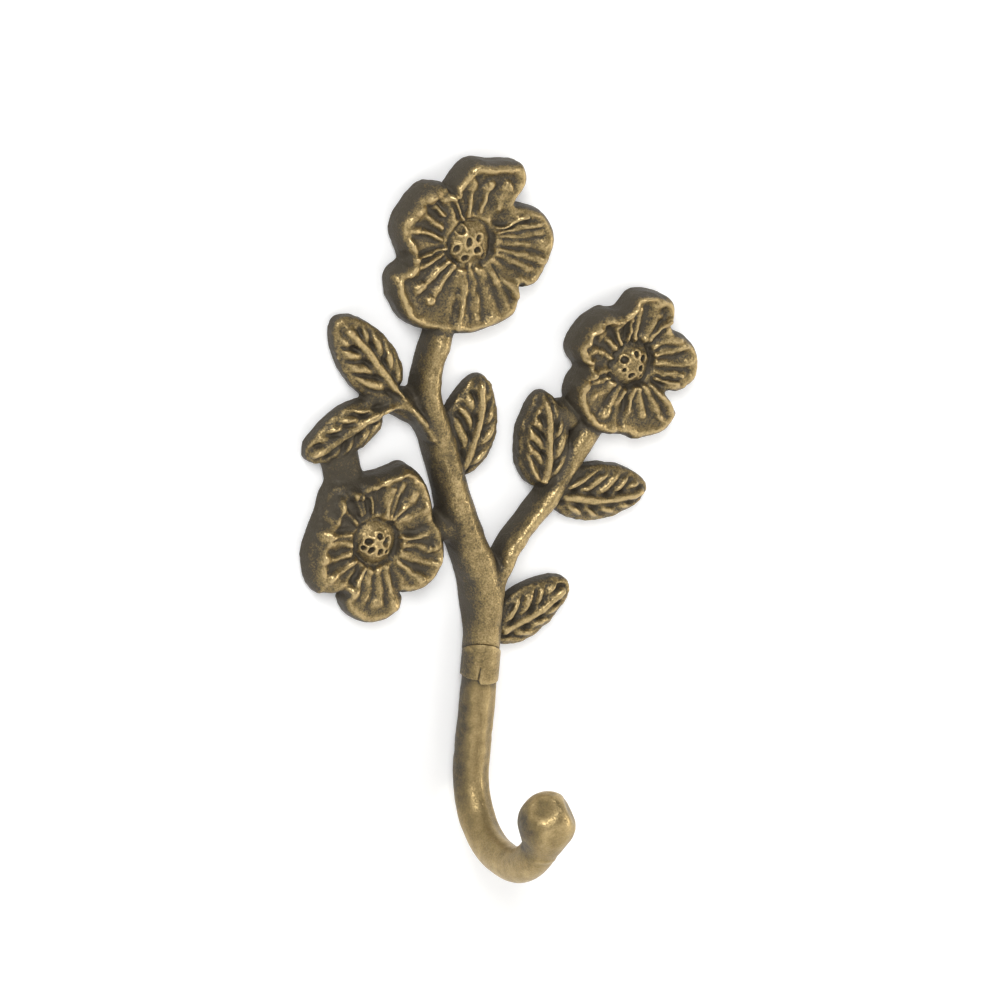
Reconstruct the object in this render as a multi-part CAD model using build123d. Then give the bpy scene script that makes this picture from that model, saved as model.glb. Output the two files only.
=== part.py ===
from build123d import *
import math
import os

# Decorative wall hook: a flowering branch cast in one piece, with a bent rod hook let into its
# foot and a wrapped band over the joint. Everything is drawn lying on its back on the bench:
# X to the right, Y up the wall, Z out from the wall. The last lines stand it up, so that the
# wall is the plane Y = 0 and +Z points up.

# Flowers: rim height above the wall, draft of the outer walls and the cup inside
RIM_HEIGHT = 7.0
WALL_DRAFT = 0.4
RIM_BEVEL = 0.8
CUP_FLOOR = 4.2
PETALS = 5
PETAL_PITCH = 360 / PETALS
PETAL_GROWTH = (1.02, 1.0, 0.98, 1.04, 1.0)

# One petal as shares of the flower's radius: two round lobes side by side and one scoop
LOBE_SIZE = 0.308
LOBE_REACH = 1 - LOBE_SIZE
LOBE_SPREAD = 11.5
CORE_SIZE = 0.66
SCOOP_REACH = 0.60
SCOOP_SIZE = 0.325
DISH_SIZE = 0.46

# Domed boss in the middle of each flower
BOSS_RADIUS = 4.6
BOSS_HEIGHT = 5.4
BOSS_DOME = 1.1

# Stamens: ridges that fan out from the boss to a six-sided bead in each petal
STAMENS = 3
STAMEN_SPREAD = 15.5
STAMEN_RADIUS = 0.75
STAMEN_START = BOSS_RADIUS + 0.9
STAMEN_REACH = 0.80
BEAD_RADIUS = 1.15
BEAD_RISE = 0.9
BEAD_SIDES = 6
BEAD_TAPER = 14

# The flowers: centre, radius and the direction of the first petal
TOP_FLOWER = (-11.4, 76.7, 18.9, 6)
RIGHT_FLOWER = (32.3, 47.7, 16.4, 6)
LOWER_FLOWER = (-28.7, 9.7, 17.3, -20)

# Leaves: thickness, the fold along the middle, the midrib in it and the veins on both slopes
LEAF_HEIGHT = 5.0
LEAF_BELLY = 0.42
FOLD_DEPTH = 1.4
MIDRIB_RADIUS = 0.9
MIDRIB_RISE = 0.5
MIDRIB_REACH = 0.94
VEINS = 4
VEIN_RADIUS = 0.65
VEIN_ANGLE = 42
VEIN_FIRST = 0.13
VEIN_STEP = 0.17
VEIN_REACH = 0.37
VEIN_SHORTEN = 0.05
TIP_ROUND = 1.5

# The leaves: base, tip and width
LEAVES = (
    (-26.2, 43.0, -42.4, 61.0, 13.0),
    (-28.9, 40.3, -47.4, 29.5, 10.8),
    (-8.8, 23.6, -4.7, 47.0, 11.8),
    (12.9, 19.6, 10.2, 42.8, 12.2),
    (15.9, 17.4, 41.4, 17.5, 13.4),
    (2.8, -15.2, 22.9, -3.4, 12.4),
)

# Rod, collar and joint
ROD_RADIUS = 4.0
COLLAR_WALL = 0.45
COLLAR_TOP = 5.2
COLLAR_ARCH = 3.0
COLLAR_FOOT = 3.4
COLLAR_STEP = 1.0
SEAM_WIDTH = 0.3
COLLAR_RADIUS = ROD_RADIUS + COLLAR_WALL
AXIS_HEIGHT = COLLAR_RADIUS
JOINT_Y = -20.0
SPIGOT_RADIUS = 2.5
SPIGOT_LENGTH = 7.0
BRAZE_GAP = 0.05
FOOT_LENGTH = 14.0

# Hook: shank below the joint, bend, sole, upturn and the bud at its tip
SHANK_LENGTH = 24.5
BEND_RADIUS = 16.4
SOLE_LENGTH = 3.0
UPTURN_RADIUS = 16.4
UPTURN_ANGLE = 84
BUD_RADIUS = 6.6
BUD_NECK = 7.0
BUD_LIP = 0.3
BUD_CROWN = 6.6
BUD_NUB = 1.6

# Branches as stations: place on the wall, width and height of the half-round section
FOOT_WIDTH = 8.7
FOOT_HEIGHT = AXIS_HEIGHT + ROD_RADIUS
MAIN_BRANCH = (
    (0.1, -19.5, FOOT_WIDTH, FOOT_HEIGHT),
    (0.1, -9.0, 9.0, 8.6),
    (-1.0, -1.0, 9.6, 8.6),
    (-4.1, 6.0, 8.9, 8.3),
    (-8.0, 14.5, 8.3, 8.0),
    (-11.5, 24.0, 7.8, 7.7),
    (-15.1, 33.5, 7.6, 7.4),
    (-18.5, 42.0, 7.2, 7.0),
    (-18.2, 50.0, 6.4, 6.6),
    (-16.0, 58.5, 6.6, 6.4),
    (-13.5, 65.0, 7.4, 6.0),
)
SIDE_BRANCH = (
    (1.5, -9.0, 5.0, 6.6),
    (2.8, -1.0, 5.4, 7.0),
    (5.7, 5.8, 5.5, 6.6),
    (10.1, 11.8, 5.5, 6.4),
    (14.1, 17.2, 6.0, 6.2),
    (17.7, 24.0, 6.8, 6.2),
    (22.2, 30.6, 8.0, 6.0),
    (26.5, 36.0, 8.8, 5.6),
)
LEAF_TWIG = (
    (-17.6, 37.0, 6.0, 5.6),
    (-22.4, 40.2, 7.2, 6.0),
    (-28.0, 42.0, 5.6, 5.2),
    (-32.0, 42.6, 4.0, 4.0),
)
FLOWER_BRIDGE = ((-6.5, 12.0, 7.0, 5.4), (-12.5, 11.6, 7.4, 5.4), (-19.0, 10.6, 7.0, 5.0))
PETAL_WEB = ((-38.5, 31.0, 8.6, 4.4), (-37.0, 25.0, 9.4, 4.7), (-35.5, 19.0, 9.6, 4.6))
LEAF_WEB = ((11.6, 39.6, 4.6, 4.0), (15.0, 39.4, 4.4, 4.2), (19.0, 39.2, 4.4, 4.2))

# Keyholes in the back: the screw head's entry, the slot for its shank and the lip that holds it
KEYHOLE_HEAD = 7.0
KEYHOLE_SLOT = 3.6
KEYHOLE_DROP = 5.0
KEYHOLE_LIP = 0.9
KEYHOLE_DEPTH = 2.6

# How far a cutter or a blank runs past the face that it crosses
OVERRUN = 1.0


def polar(radius, degrees):
    """A point on the bench at a distance and a direction."""
    return radius * math.cos(math.radians(degrees)), radius * math.sin(math.radians(degrees))


def rod(start, end, radius):
    """A straight round rod between two points."""
    axis = Vector(*end) - Vector(*start)
    place = Plane(origin=start, z_dir=axis)
    return place * Cylinder(radius, axis.length, align=(Align.CENTER, Align.CENTER, Align.MIN))


def ridge(start, end, radius):
    """A straight ridge between two points: a square bar that lies on its edge."""
    axis = Vector(*end) - Vector(*start)
    place = Plane(origin=start, x_dir=Vector(0, 0, 1).cross(axis), z_dir=axis)
    return extrude(place * RegularPolygon(radius, 4), axis.length)


def bead(x, y, height):
    """The bead at the end of a stamen: a six-sided button with drafted walls."""
    button = extrude(RegularPolygon(BEAD_RADIUS, BEAD_SIDES), 2 * BEAD_RISE, taper=BEAD_TAPER)
    return Pos(x, y, height - BEAD_RISE) * button


def lobe(radius):
    """Half of a petal's edge: a drafted round button with a bevelled rim."""
    body = Cone(radius + WALL_DRAFT, radius, RIM_HEIGHT, align=(Align.CENTER, Align.CENTER, Align.MIN))
    return chamfer(body.edges().sort_by(Axis.Z)[-1], RIM_BEVEL)


def dish(radius, depth):
    """The ball that cuts a round dish of this radius and depth below the rim."""
    ball = (radius**2 + depth**2) / (2 * depth)
    return Pos(0, 0, RIM_HEIGHT - depth + ball) * Rot(90, 0, 0) * Sphere(ball)


def scoop_floor(radius, reach, degrees):
    """The height of a petal's scooped floor at a point given from the flower's centre."""
    depth = RIM_HEIGHT - CUP_FLOOR
    chord = SCOOP_SIZE * radius
    ball = (chord**2 + depth**2) / (2 * depth)
    x, y = polar(reach, degrees)
    away = math.hypot(x - SCOOP_REACH * radius, y)
    return CUP_FLOOR + ball - math.sqrt(ball**2 - away**2)


def petal_edge(radius, growth):
    """The outside of one petal: two lobes side by side."""
    half = lobe(LOBE_SIZE * radius)
    reach = LOBE_REACH * radius * growth
    return [Pos(*polar(reach, side * LOBE_SPREAD)) * half for side in (-1, 1)]


def stamens(radius):
    """The stamens of one petal, each a ridge along the floor that ends in a bead."""
    pieces = []
    for index in range(STAMENS):
        turn = (index - (STAMENS - 1) / 2) * STAMEN_SPREAD
        reach = STAMEN_REACH * radius
        tip = (*polar(reach, turn), scoop_floor(radius, reach, turn))
        pieces.append(ridge((*polar(STAMEN_START, turn), CUP_FLOOR), tip, STAMEN_RADIUS))
        pieces.append(bead(*tip))
    return pieces


def boss():
    """The domed boss in the middle of a flower."""
    ball = (BOSS_RADIUS**2 + BOSS_DOME**2) / (2 * BOSS_DOME)
    post = rod((0, 0, BOSS_DOME), (0, 0, BOSS_HEIGHT + OVERRUN), BOSS_RADIUS)
    return post & Pos(0, 0, BOSS_HEIGHT - ball) * Rot(90, 0, 0) * Sphere(ball)


def flower(x, y, radius, turn):
    """A cupped five-petalled flower with its boss and stamens, solid to the wall."""
    depth = RIM_HEIGHT - CUP_FLOOR
    turns = [Rot(0, 0, index * PETAL_PITCH) for index in range(PETALS)]
    body = rod((0, 0, 0), (0, 0, RIM_HEIGHT), CORE_SIZE * radius)
    for step, growth in zip(turns, PETAL_GROWTH):
        body += [step * half for half in petal_edge(radius, growth)]
    scoop = Pos(SCOOP_REACH * radius, 0) * dish(SCOOP_SIZE * radius, depth)
    body -= [step * scoop for step in turns]
    body -= dish(DISH_SIZE * radius, depth)
    body += [boss()] + [step * piece for step in turns for piece in stamens(radius)]
    return Pos(x, y) * Rot(0, 0, turn) * body


def leaf_outline(length, width):
    """A leaf seen from the front: a round base and two arcs that meet in a blunt tip."""
    belly = LEAF_BELLY * length
    reach = length - belly
    half = width / 2
    base = Ellipse(belly, half) & Pos(-belly / 2, 0) * Rectangle(belly, width)
    arc = (reach**2 + half**2) / (2 * half)
    blade = Pos(0, half - arc) * Circle(arc) & Pos(0, arc - half) * Circle(arc)
    blade &= Pos(reach / 2, 0) * Rectangle(reach, width)
    outline = base + blade
    outline = fillet(outline.vertices().sort_by(Axis.X)[-1], TIP_ROUND)
    return Pos(belly, 0) * outline


def leaf_fold(length, width):
    """The wedge that folds the blade down towards its midrib."""
    half = width / 2
    top = OVERRUN
    wedge = Polygon((0, -FOLD_DEPTH), (half, 0), (half, top), (-half, top), (-half, 0), align=None)
    across = Plane(origin=(0, 0, LEAF_HEIGHT), x_dir=(0, 1, 0), z_dir=(1, 0, 0))
    return extrude(across * wedge, length)


def leaf_veins(length, width):
    """The midrib and the veins that run from it up both slopes."""
    floor = LEAF_HEIGHT - FOLD_DEPTH
    middle = floor + MIDRIB_RISE
    ribs = [rod((0, 0, middle), (MIDRIB_REACH * length, 0, middle), MIDRIB_RADIUS)]
    lean = math.tan(math.radians(90 - VEIN_ANGLE))
    for index in range(VEINS):
        root = (VEIN_FIRST + VEIN_STEP * index) * length
        reach = (VEIN_REACH - VEIN_SHORTEN * abs(index - 1)) * width
        edge = floor + FOLD_DEPTH * 2 * reach / width
        for side in (-1, 1):
            tip = (root + lean * reach, side * reach, edge)
            ribs.append(ridge((root, 0, floor), tip, VEIN_RADIUS))
    return ribs


def leaf(base_x, base_y, tip_x, tip_y, width):
    """A cast leaf, solid to the wall, folded along its midrib and veined on both slopes."""
    length = math.hypot(tip_x - base_x, tip_y - base_y)
    heading = math.degrees(math.atan2(tip_y - base_y, tip_x - base_x))
    body = extrude(leaf_outline(length, width), LEAF_HEIGHT)
    body -= leaf_fold(length, width)
    body += leaf_veins(length, width)
    return Pos(base_x, base_y) * Rot(0, 0, heading) * body


def limb(stations):
    """A branch with a flat back: a loft through half-round sections along its route."""
    sections = []
    last = len(stations) - 1
    for index, (x, y, width, height) in enumerate(stations):
        before = stations[max(index - 1, 0)]
        after = stations[min(index + 1, last)]
        heading = Vector(after[0] - before[0], after[1] - before[1])
        place = Plane(origin=(x, y, 0), x_dir=Vector(0, 0, 1).cross(heading), z_dir=heading)
        section = Ellipse(width / 2, height) & Pos(0, height / 2) * Rectangle(width, height)
        sections.append(place * section)
    return loft(sections)


def keyhole(x, y):
    """The cutter for one keyhole: its round entry lies below the slot that the screw rests in."""
    entry = Pos(0, -KEYHOLE_DROP / 2) * Circle(KEYHOLE_HEAD / 2)
    seat = Pos(0, KEYHOLE_DROP / 2)
    shank_slot = seat * Circle(KEYHOLE_SLOT / 2) + Rectangle(KEYHOLE_SLOT, KEYHOLE_DROP)
    head_slot = seat * Circle(KEYHOLE_HEAD / 2) + Rectangle(KEYHOLE_HEAD, KEYHOLE_DROP)
    mouth = extrude(entry + shank_slot, KEYHOLE_DEPTH)
    undercut = extrude(entry + head_slot, KEYHOLE_DEPTH - KEYHOLE_LIP)
    return Pos(x, y) * (mouth + Pos(0, 0, KEYHOLE_LIP) * undercut)


def upright(radius, low, high):
    """A round bar on the hook's axis between two heights up the wall."""
    return rod((0, low, AXIS_HEIGHT), (0, high, AXIS_HEIGHT), radius)


def flower_branch():
    """The whole casting: branches, six leaves, three flowers, the foot and the back."""
    body = limb(MAIN_BRANCH) + upright(ROD_RADIUS, JOINT_Y, JOINT_Y + FOOT_LENGTH)
    body += limb(SIDE_BRANCH)
    body += [limb(LEAF_TWIG), limb(FLOWER_BRIDGE), limb(PETAL_WEB), limb(LEAF_WEB)]
    body += [leaf(*sizes) for sizes in LEAVES]
    body += [flower(*sizes) for sizes in (TOP_FLOWER, RIGHT_FLOWER, LOWER_FLOWER)]
    body -= [keyhole(TOP_FLOWER[0], TOP_FLOWER[1]), keyhole(LOWER_FLOWER[0], LOWER_FLOWER[1])]
    socket_end = JOINT_Y + SPIGOT_LENGTH + BRAZE_GAP
    return body - [collar_seat(), upright(SPIGOT_RADIUS + BRAZE_GAP, JOINT_Y, socket_end)]


def hook_route():
    """The rod's centreline, drawn out from the wall along X and up it along Y."""
    shank = Line((AXIS_HEIGHT, JOINT_Y), (AXIS_HEIGHT, JOINT_Y - SHANK_LENGTH))
    bend = JernArc(shank @ 1, shank % 1, BEND_RADIUS, 90)
    sole = Line(bend @ 1, bend @ 1 + SOLE_LENGTH * (bend % 1))
    upturn = JernArc(sole @ 1, sole % 1, UPTURN_RADIUS, UPTURN_ANGLE)
    return shank + bend + sole + upturn, upturn


def bud(tip, heading):
    """The bud at the end of the rod: a neck that swells to a round head with a small nub."""
    neck = ROD_RADIUS + BUD_LIP
    side = Spline(
        (neck, -BUD_NECK),
        (BUD_RADIUS, 0),
        (BUD_NUB, BUD_CROWN),
        tangents=((0, 1), (-1, 0.1)),
    )
    edge = Polyline((BUD_NUB, BUD_CROWN), (0, BUD_CROWN), (0, -BUD_NECK), (neck, -BUD_NECK))
    body = revolve(Plane.XZ * make_face(side + edge), Axis.Z)
    return Plane(origin=tip, z_dir=heading) * body


def hook():
    """The bent rod with its bud, and the spigot that goes up into the casting's foot."""
    route, upturn = hook_route()
    sheet = Plane.ZY
    place = Plane(origin=(0, JOINT_Y, AXIS_HEIGHT), z_dir=(0, -1, 0))
    body = sweep(place * Circle(ROD_RADIUS), path=sheet * route)
    body += bud(sheet.from_local_coords(upturn @ 1), sheet.from_local_coords(upturn % 1))
    return body + upright(SPIGOT_RADIUS, JOINT_Y, JOINT_Y + SPIGOT_LENGTH)


def collar_outline():
    """The band seen from the front: an arched top edge and a bottom edge that steps at the seam."""
    side = COLLAR_RADIUS
    top = JOINT_Y + COLLAR_TOP
    low = JOINT_Y - COLLAR_FOOT
    arch = ThreePointArc((-side, top - COLLAR_ARCH), (0, top), (side, top - COLLAR_ARCH))
    edge = Polyline(
        (side, top - COLLAR_ARCH),
        (side, low - COLLAR_STEP),
        (0, low - COLLAR_STEP),
        (0, low),
        (-side, low),
        (-side, top - COLLAR_ARCH),
    )
    return make_face(arch + edge)


def collar_seat():
    """What is cut from the foot so that the stem stops at the band's arched edge."""
    around = extrude(collar_outline(), AXIS_HEIGHT + FOOT_HEIGHT)
    return around - upright(ROD_RADIUS, JOINT_Y - COLLAR_FOOT, JOINT_Y + FOOT_LENGTH)


def joint_collar():
    """The band wrapped over the joint, open along its seam at the front."""
    reach = COLLAR_TOP + COLLAR_FOOT
    band = upright(COLLAR_RADIUS, JOINT_Y - reach, JOINT_Y + reach)
    band &= extrude(collar_outline(), AXIS_HEIGHT + FOOT_HEIGHT)
    band -= upright(ROD_RADIUS + BRAZE_GAP, JOINT_Y - reach, JOINT_Y + reach)
    seam = Box(SEAM_WIDTH, 2 * reach, COLLAR_RADIUS, align=(Align.CENTER, Align.CENTER, Align.MIN))
    return band - Pos(0, JOINT_Y, AXIS_HEIGHT + COLLAR_RADIUS / 2) * seam


def write(name, body):
    """Stands a piece up against the wall and writes it."""
    export_step(Plane.XZ * body, f"parts/{name}.step")


os.makedirs("parts", exist_ok=True)
write("flower_branch", flower_branch())
write("hook", hook())
write("joint_collar", joint_collar())
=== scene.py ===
"""Antique brass wall hook: a flowering branch cast in one piece, with a bent rod hook in its foot.

Pieces are worked out lying on their back, in millimetres: x to the right, y up the wall and z out
of the wall. Each is a block of distances to its surface, in which soft parts melt into each other as
they do in a casting, and its mesh is the surface of that block, stood up against the wall in metres.
"""

import math
from types import SimpleNamespace

import bpy
import numpy as np
from bpy.props import FloatProperty, FloatVectorProperty, PointerProperty
from mathutils import Matrix, Vector


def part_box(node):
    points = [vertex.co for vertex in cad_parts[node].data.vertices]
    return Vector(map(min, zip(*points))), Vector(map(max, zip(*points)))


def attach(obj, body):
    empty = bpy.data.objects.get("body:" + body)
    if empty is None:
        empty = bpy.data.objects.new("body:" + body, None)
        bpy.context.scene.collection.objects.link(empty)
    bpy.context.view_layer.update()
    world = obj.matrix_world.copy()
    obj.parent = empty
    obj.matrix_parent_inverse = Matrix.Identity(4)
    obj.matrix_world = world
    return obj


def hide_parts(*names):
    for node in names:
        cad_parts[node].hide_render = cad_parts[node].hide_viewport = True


bl_info = {
    "name": "Flowering branch wall hook",
    "version": (1, 0, 0),
    "blender": (4, 5, 0),
    "location": "View3D > Sidebar > Wall Hook",
    "description": "Builds a cast brass wall hook with three flowers and six leaves",
    "category": "Add Mesh",
}

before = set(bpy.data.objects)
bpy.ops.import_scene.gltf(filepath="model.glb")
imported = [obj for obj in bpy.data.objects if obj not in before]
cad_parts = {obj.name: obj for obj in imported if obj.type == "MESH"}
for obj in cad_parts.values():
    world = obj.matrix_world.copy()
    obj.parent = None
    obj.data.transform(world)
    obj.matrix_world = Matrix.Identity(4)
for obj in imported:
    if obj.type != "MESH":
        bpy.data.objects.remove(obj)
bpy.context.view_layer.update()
MM = 0.001
# Distance that points away from every part are given
FAR = 6.0

# The flowers: centre on the wall, outline round it, direction and rim height of each petal, directions
# of the creases between the petals, boss height, direction in which the lip lies further in and by how
# much, stamens (start, end, width and radius of the club) and pits in the boss (place and radius)
TOP_FLOWER = {
    "centre": (-11.4, 76.7),
    "outline": (
        (-6.6, 13.1), (-3.8, 17.1), (-0.6, 19.0), (3.5, 18.5), (7.5, 18.6), (11.5, 17.6),
        (12.5, 13.4), (10.1, 9.3), (13.5, 8.4), (17.2, 7.1), (20.2, 3.2), (20.9, -0.7),
        (18.9, -6.2), (16.6, -9.4), (13.5, -10.2), (13.0, -9.7), (13.3, -11.6), (12.6, -15.7),
        (9.3, -18.0), (6.2, -19.1), (1.6, -20.2), (-3.6, -19.9), (-9.0, -19.1), (-14.0, -17.3),
        (-17.0, -13.7), (-19.0, -9.5), (-19.1, -6.2), (-16.6, -3.7), (-16.3, -2.5), (-18.8, 3.0),
        (-18.1, 6.8), (-15.1, 11.4), (-12.3, 13.7), (-8.4, 13.8), (-6.5, 13.3),
    ),
    "petals": ((81, 6.4), (4, 6.8), (-69, 6.6), (-143, 6.2), (149, 6.0)),
    "creases": (118, 42, -39, -101, 188),
    "boss": 4.8,
    "shoulder": (150, 0.7),
    "stamens": (
        (-1.3, 6.5, -1.1, 13.5, 0.8, 1.25), (1.7, 7.5, 3.3, 13.5, 0.8, 1.25),
        (5.7, 8.0, 7.2, 13.0, 0.9, 1.35), (-2.8, 5.7, -7.1, 12.8, 0.6, 0.0),
        (-7.5, 6.8, -11.4, 10.7, 0.7, 1.1), (-7.6, 3.8, -13.5, 8.1, 0.8, 1.5),
        (-7.3, 1.6, -14.3, 4.2, 0.7, 1.1), (-6.3, -0.5, -14.9, -2.7, 0.6, 0.8),
        (-6.8, -1.5, -14.8, -5.6, 0.7, 1.4), (-5.3, -3.5, -12.2, -9.3, 0.8, 1.3),
        (-4.1, -4.7, -9.0, -12.3, 0.8, 1.2), (-1.5, -5.3, -1.6, -15.6, 1.2, 1.2),
        (0.5, -4.9, 2.1, -16.0, 1.05, 1.35), (2.5, -4.9, 6.4, -16.3, 1.15, 1.2),
        (4.1, -4.3, 9.7, -14.4, 1.15, 1.2), (5.4, -3.3, 11.4, -10.6, 1.1, 0.9),
        (6.3, -2.2, 14.7, -5.5, 0.9, 0.8), (6.5, -1.4, 17.2, -3.6, 1.0, 1.2),
        (6.7, 0.4, 17.6, -0.3, 1.05, 1.1), (7.3, 1.7, 16.0, 2.1, 0.9, 0.9),
        (6.5, 2.9, 15.9, 4.2, 0.8, 1.0), (5.7, 3.9, 12.5, 6.2, 0.6, 0.0),
    ),
    "pits": (
        (-2.8, 3.1, 1.0), (1.6, 1.6, 0.75), (-1.2, 0.6, 0.85), (1.1, -1.3, 0.85),
        (3.0, -2.3, 0.7), (-1.3, -2.9, 0.8), (-3.7, -0.7, 0.6),
    ),
}
RIGHT_FLOWER = {
    "centre": (32.3, 47.7),
    "outline": (
        (-3.4, 13.3), (-1.0, 16.2), (1.7, 17.0), (6.0, 16.3), (9.1, 14.8), (10.1, 11.7),
        (9.5, 9.3), (10.3, 7.6), (13.6, 6.2), (17.0, 3.0), (18.1, -0.7), (17.2, -4.3),
        (13.9, -6.8), (10.9, -7.1), (10.4, -7.4), (10.4, -7.4), (11.9, -9.6), (13.3, -12.5),
        (11.0, -15.9), (6.8, -17.4), (2.7, -17.8), (-0.4, -16.5), (-4.4, -16.3), (-9.2, -14.6),
        (-13.1, -10.6), (-15.0, -7.0), (-14.9, -4.0), (-14.1, -2.1), (-13.1, -0.4), (-15.1, 2.1),
        (-15.9, 4.5), (-15.1, 6.9), (-13.3, 9.8), (-10.4, 12.1), (-7.8, 13.2), (-5.3, 12.8),
    ),
    "petals": ((79, 7.4), (5, 6.8), (-65, 6.4), (-145, 6.8), (151, 7.4)),
    "creases": (107, 48, -36, -98, 180),
    "boss": 5.3,
    "shoulder": (160, 0.6),
    "stamens": (
        (0.0, 5.3, 0.5, 12.8, 0.8, 1.1), (2.5, 5.1, 4.7, 12.6, 0.9, 1.5),
        (4.0, 5.8, 7.4, 10.2, 0.9, 1.0), (-1.5, 5.0, -1.3, 10.5, 0.6, 0.0),
        (-3.4, 5.0, -6.8, 10.8, 0.7, 1.0), (-4.0, 3.7, -9.3, 8.2, 0.8, 1.5),
        (-5.0, 1.8, -10.9, 4.4, 0.8, 1.2), (-5.0, -0.9, -11.2, -1.0, 0.9, 0.9),
        (-4.7, -2.5, -10.0, -3.5, 0.8, 0.0), (-3.7, -3.9, -9.7, -7.0, 1.2, 1.4),
        (-2.4, -5.1, -6.0, -10.8, 0.8, 1.3), (-1.4, -5.9, -3.7, -8.7, 0.9, 0.8),
        (-7.0, -3.5, -13.1, -3.8, 0.9, 1.6), (1.4, -5.9, 0.4, -10.7, 0.9, 0.0),
        (2.4, -6.1, 4.2, -11.9, 0.9, 1.3), (4.0, -5.5, 8.4, -12.5, 1.0, 1.2),
        (5.8, -5.1, 10.8, -10.5, 0.9, 1.0), (5.6, 3.7, 11.1, 5.4, 0.9, 0.8),
        (6.0, 1.8, 12.6, 3.6, 0.9, 1.2), (6.3, 0.0, 14.7, -0.1, 1.0, 1.3),
        (6.8, -1.9, 13.0, -3.1, 0.9, 1.0), (6.8, -3.7, 11.9, -4.8, 0.7, 0.6),
    ),
    "pits": (
        (-2.6, 1.2, 0.8), (0.5, 2.6, 0.7), (2.4, 1.6, 0.75), (1.9, -0.5, 0.75),
        (-0.4, -2.2, 0.7), (-2.4, -1.0, 0.5), (2.2, -2.6, 0.5),
    ),
}
LOWER_FLOWER = {
    "centre": (-28.7, 9.7),
    "outline": (
        (-1.1, 15.8), (2.1, 16.6), (5.2, 17.7), (8.0, 16.5), (10.8, 13.7), (12.4, 10.7),
        (13.4, 7.7), (13.5, 5.4), (15.2, 3.4), (16.5, 0.6), (17.3, -2.7), (16.9, -6.3),
        (15.0, -9.9), (11.8, -12.0), (7.8, -12.6), (7.5, -12.2), (8.1, -14.2), (6.7, -16.8),
        (3.4, -18.6), (-1.2, -18.9), (-5.2, -16.7), (-7.2, -13.3), (-7.0, -11.4), (-10.7, -11.2),
        (-13.2, -11.3), (-15.7, -8.1), (-16.8, -3.8), (-16.8, -0.6), (-15.8, 3.5), (-14.4, 7.4),
        (-13.5, 11.7), (-11.1, 14.6), (-6.0, 15.1),
    ),
    "petals": ((52, 6.6), (-20, 6.4), (-90, 5.4), (-168, 5.6), (125, 6.6)),
    "creases": (91, 16, -63, -122, 160),
    "boss": 4.8,
    "shoulder": (163, 2.2),
    "stamens": (
        (-5.4, 4.9, -10.4, 9.5, 0.8, 1.3), (-4.2, 6.7, -7.1, 12.3, 0.7, 1.0),
        (-3.6, 6.9, -5.5, 11.7, 0.6, 0.7), (-1.5, 6.9, -2.9, 11.0, 0.6, 0.0),
        (1.7, 5.3, 2.7, 12.4, 1.0, 1.2), (2.7, 5.3, 4.7, 13.1, 0.8, 1.2),
        (3.6, 5.5, 7.9, 10.5, 0.9, 1.3), (5.0, 4.2, 10.7, 7.7, 1.0, 1.2),
        (5.6, 0.7, 12.2, 1.0, 0.8, 0.6), (6.0, -0.7, 13.6, -2.0, 1.0, 1.2),
        (6.6, -3.1, 14.5, -5.2, 1.0, 1.1), (5.8, -4.9, 11.3, -9.0, 0.9, 1.2),
        (2.6, -5.9, 4.4, -14.4, 1.0, 1.1), (0.6, -5.8, 1.2, -14.5, 1.0, 1.1),
        (-1.4, -5.8, -1.9, -12.6, 1.1, 1.1), (-3.0, -5.5, -5.0, -11.0, 0.8, 1.6),
        (-5.4, -3.9, -10.6, -7.2, 0.8, 1.2), (-6.6, -2.1, -12.7, -2.7, 0.9, 1.4),
        (-6.2, 0.1, -11.2, 0.8, 0.9, 0.8), (-6.8, 2.1, -14.2, 2.6, 0.9, 1.2),
    ),
    "pits": (
        (-2.3, 0.9, 0.7), (-0.1, 1.8, 0.75), (1.9, 0.2, 1.0), (-1.8, -1.3, 0.75),
        (0.6, -2.0, 0.7), (2.2, -1.9, 0.6), (-3.3, -0.5, 0.5),
    ),
}
# All flowers, in millimetres: how far inside the outline the petals roll over into a lip, how wide and
# how high it is, as a share of the cup's depth, and the direction in which it is strongest (degrees);
# the stamens, their clubs, the creases, the domed boss, and the moat and the ring round it
LIP_TURN = 145
LIP_INSET = 1.75
LIP_WIDTH = 1.15
LIP_RISE = 0.42
STAMEN_RISE = 2.0
STAMEN_VALLEY = 1.05
CLUB_RISE = 2.2
CREASE_DEPTH = 0.3
BOSS_RADIUS = 4.6
BOSS_FALL = 1.5
BOSS_EDGE = 5.2
MOAT_RADIUS = 5.1
RING_RADIUS = 6.3
FLOWER_ROUNDING = 1.5
FLOWER_COAT = 0.3

# The leaves: base, tip, width, line of the midrib, distance between ribs, width of the grooves between
# them and height of a rim along the left edge
LEAVES = (
    ((-26.2, 43.0), (-42.0, 60.7), 13.0,
     ((-22.5, 39.5), (-28, 45.5), (-33, 51.5), (-39.5, 58.2)), 4.6, 0.5, 0.0),
    ((-28.9, 40.3), (-47.0, 29.7), 10.8,
     ((-26, 41.5), (-33, 38), (-40, 34), (-45.5, 30.6)), 4.1, 0.6, 0.0),
    ((-9.0, 23.4), (-5.0, 46.7), 14.4,
     ((-8.8, 25), (-6.6, 31), (-5.3, 38), (-5.6, 45)), 4.8, 0.65, 0.0),
    ((13.5, 19.4), (10.9, 42.0), 13.4,
     ((12.9, 20.5), (13.2, 28), (12.3, 35), (10.9, 40.5)), 4.3, 0.5, 0.9),
    ((15.9, 17.4), (41.0, 17.5), 13.6,
     ((17.5, 17.6), (24, 16.4), (30, 15.9), (38.5, 16.9)), 4.4, 0.65, 0.0),
    ((2.8, -15.2), (22.5, -3.6), 12.4,
     ((6, -13.6), (9, -12.2), (14, -9.8), (20, -5.2)), 4.4, 0.65, 0.0),
)
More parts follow.
